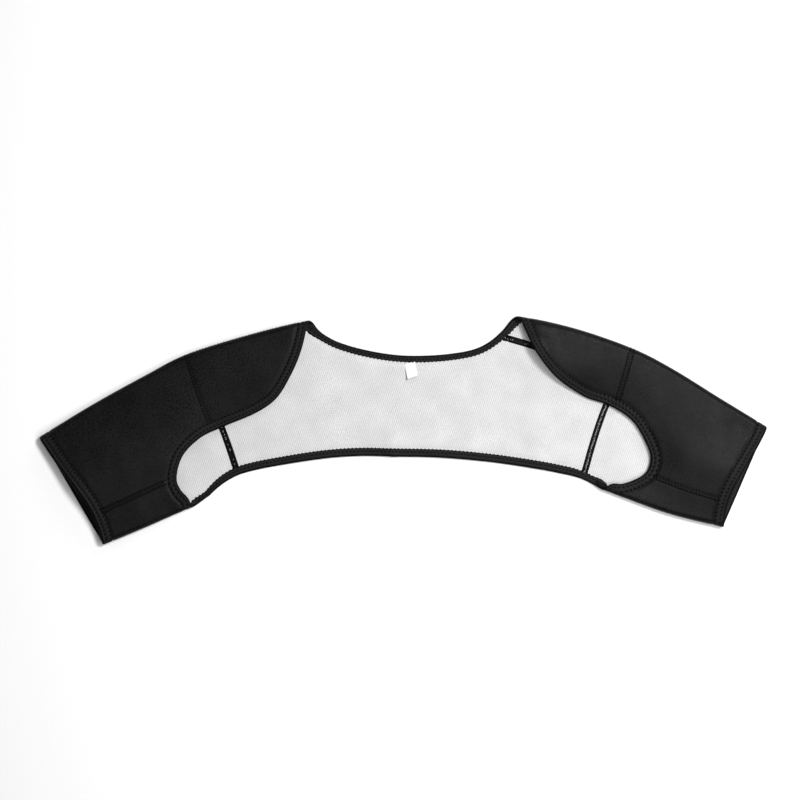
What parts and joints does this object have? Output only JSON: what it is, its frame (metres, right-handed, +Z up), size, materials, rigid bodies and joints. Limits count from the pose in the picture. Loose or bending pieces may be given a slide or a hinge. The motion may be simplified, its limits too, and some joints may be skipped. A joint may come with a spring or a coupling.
{
  "type": "shoulder brace",
  "caption": "Stretch shoulder brace worn like a cropped jacket: a back panel, fronts turned over the shoulders and tube sleeves, open at the neck and front, laid out flat.",
  "frame": {"origin": "middle of the part's box, on the surface that the back panel lies on", "axes": "+X from the sleeve on the left of the picture to the one on the right, +Y from the hem to the neck, +Z up out of the surface"},
  "size_m": [0.8202, 0.2582, 0.0214],
  "materials": {
    "knit": "black nylon knit laminated to neoprene foam, with a faint sheen",
    "lining": "pale grey loop knit, matt, with a fine diagonal rib",
    "binding": "black stretch binding tape, cover stitched",
    "seam_thread": "black flat seam of many threads",
    "label": "white satin tape, folded double"
  },
  "bodies": {
    "root": {"back_panel": "knit", "back_panel_lining": "lining", "left_shoulder_panel": "knit", "left_shoulder_panel_lining": "lining", "left_sleeve": "knit", "left_sleeve_lining": "lining", "right_shoulder_panel": "knit", "right_shoulder_panel_lining": "lining", "right_sleeve": "knit", "right_sleeve_lining": "lining", "opening_binding": "binding", "left_cuff_binding": "binding", "right_cuff_binding": "binding", "left_sleeve_seam_cover": "seam_thread", "right_sleeve_seam_cover": "seam_thread", "right_shoulder_seam_cover": "seam_thread", "size_label": "label"}
  },
  "joints": []
}
